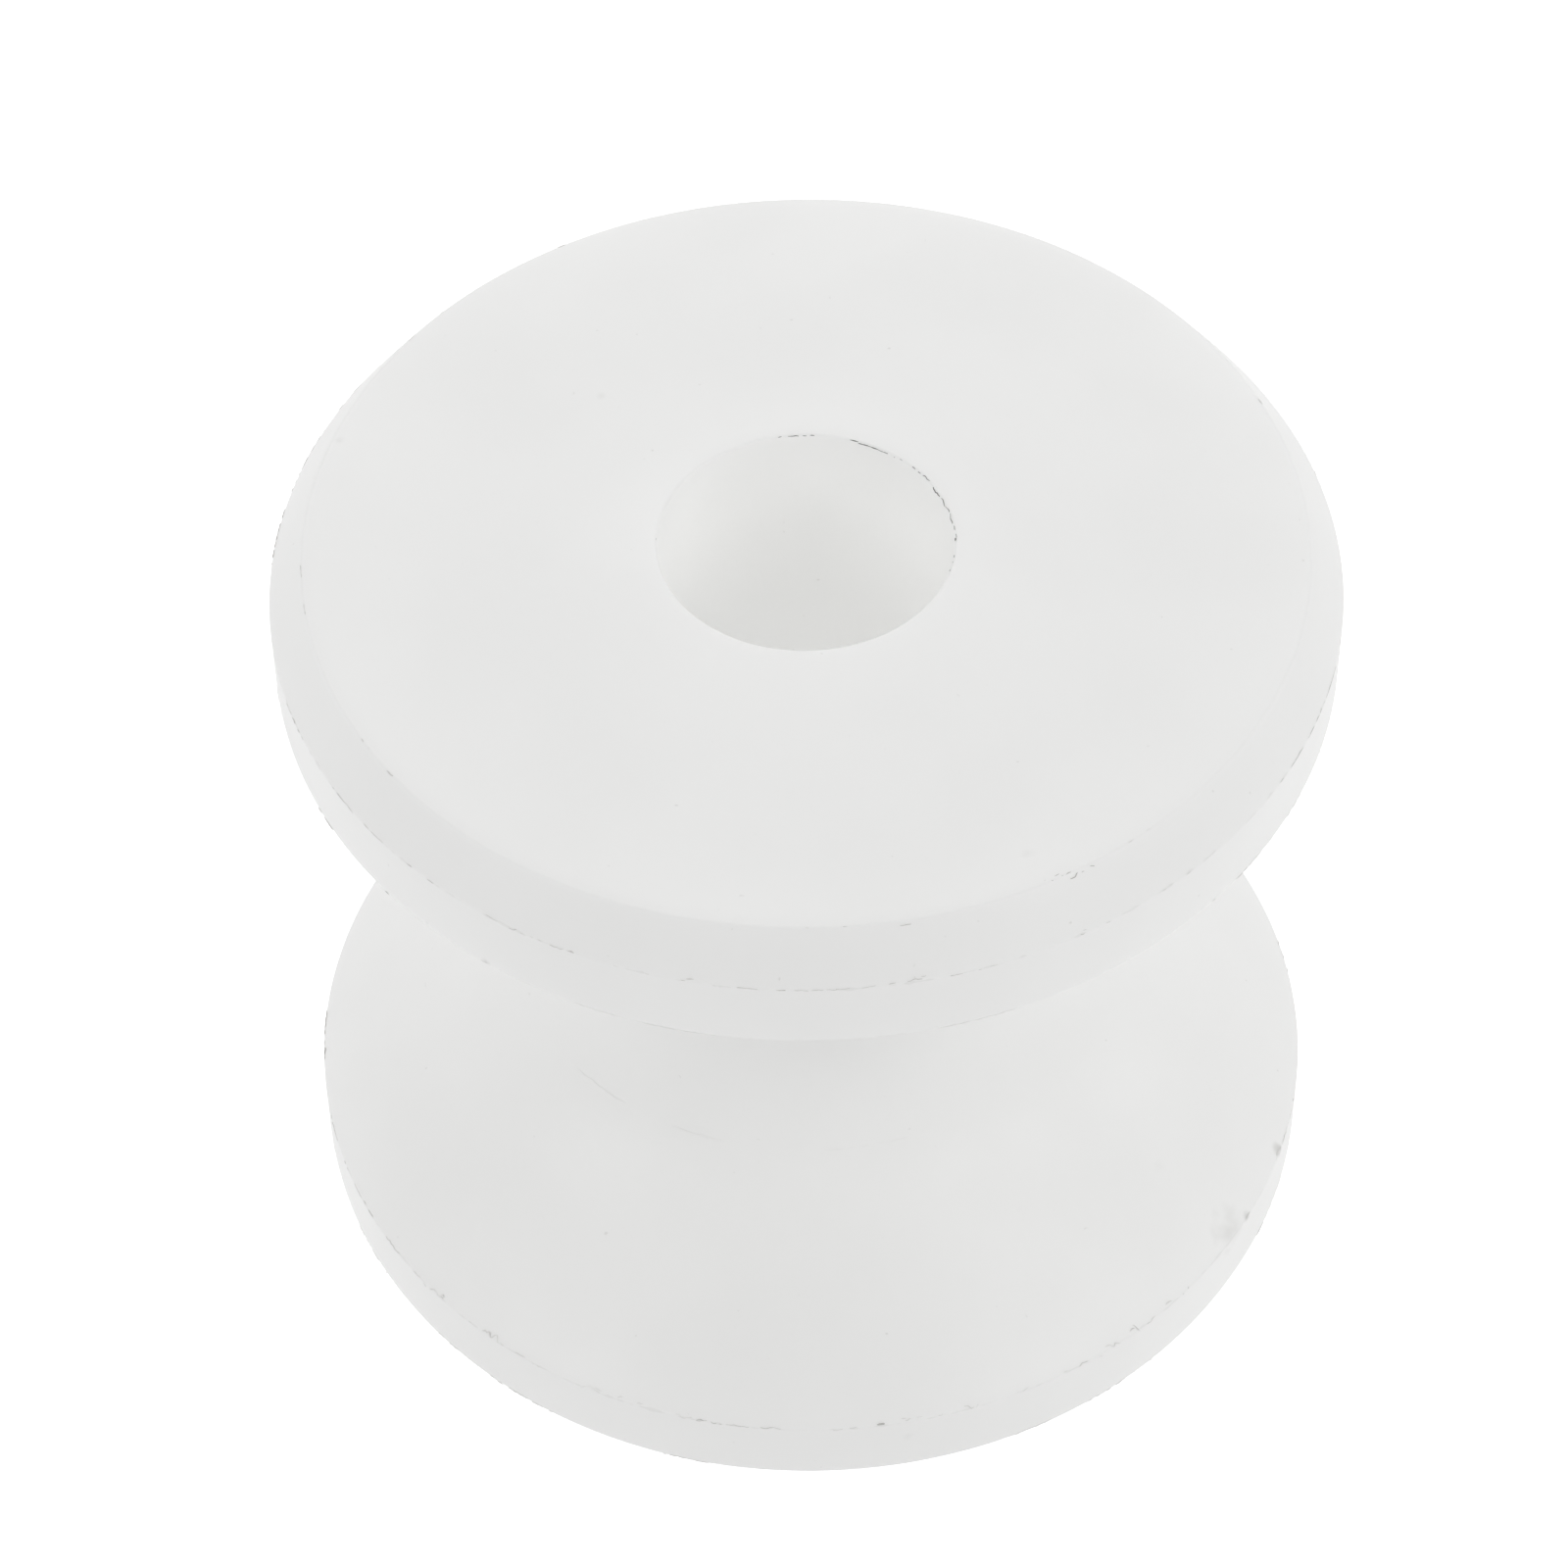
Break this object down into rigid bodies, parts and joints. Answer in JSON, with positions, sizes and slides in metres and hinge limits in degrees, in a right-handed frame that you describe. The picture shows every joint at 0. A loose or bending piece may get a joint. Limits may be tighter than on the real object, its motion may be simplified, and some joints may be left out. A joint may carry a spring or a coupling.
{
  "type": "anchor roller wheel",
  "caption": "White nylon anchor roller wheel: one-piece spool with two chamfered flanges, a deep concave rode groove and a plain through bore for an axle pin.",
  "frame": {"origin": "centre of the wheel: on the bore's axis, at mid length between the two end faces", "axes": "+Z along the bore axis, from the lower end face to the upper one; the wheel is round about Z"},
  "size_m": [0.06, 0.06, 0.05],
  "materials": {
    "nylon": "turned natural white nylon, satin, with fine turning marks and small burrs on the edges"
  },
  "bodies": {
    "root": {"roller_wheel": "nylon"}
  },
  "joints": []
}
